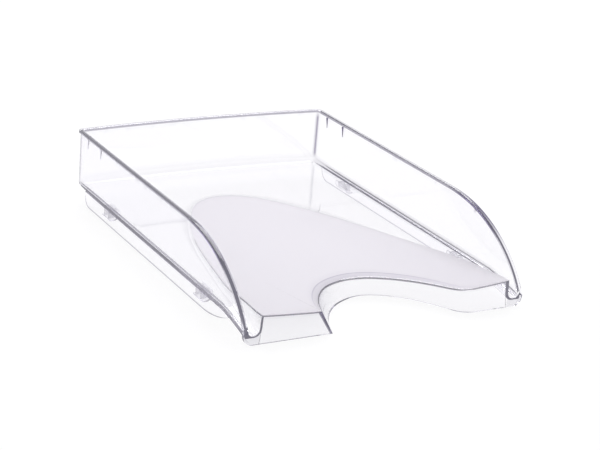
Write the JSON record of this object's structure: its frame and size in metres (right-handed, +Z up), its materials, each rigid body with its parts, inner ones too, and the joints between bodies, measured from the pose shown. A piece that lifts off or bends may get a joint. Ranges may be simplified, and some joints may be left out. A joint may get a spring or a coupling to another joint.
{
  "type": "letter tray",
  "caption": "Clear moulded letter tray with an open front, rims that sweep down to the front, a raised frosted ramp, an asymmetric finger notch and foot runners",
  "frame": {"origin": "on the desk, under the middle of the tray's overall box", "axes": "+X to the right seen from the open front, +Y towards the back wall, +Z up; the open front faces -Y"},
  "size_m": [0.257, 0.348, 0.066],
  "materials": {
    "clear_plastic": "clear polished crystal plastic with a very faint violet tint",
    "frosted_plastic": "the same plastic with a fine satin texture that makes it milky"
  },
  "bodies": {
    "root": {"back_wall": "clear_plastic", "back_rim": "clear_plastic", "left_wall": "clear_plastic", "left_rim": "clear_plastic", "right_wall": "clear_plastic", "right_rim": "clear_plastic", "floor_panel": "clear_plastic", "left_gutter": "clear_plastic", "right_gutter": "clear_plastic", "frosted_ramp": "frosted_plastic", "left_ramp_step": "clear_plastic", "right_ramp_step": "clear_plastic", "notch_wall": "clear_plastic", "left_apron": "clear_plastic", "right_apron": "clear_plastic", "left_runner": "clear_plastic", "right_runner": "clear_plastic", "left_rear_lug": "clear_plastic", "left_front_lug": "clear_plastic", "left_rear_rib": "clear_plastic", "left_front_rib": "clear_plastic", "right_rear_lug": "clear_plastic", "right_front_lug": "clear_plastic", "right_rear_rib": "clear_plastic", "right_front_rib": "clear_plastic"}
  },
  "joints": []
}
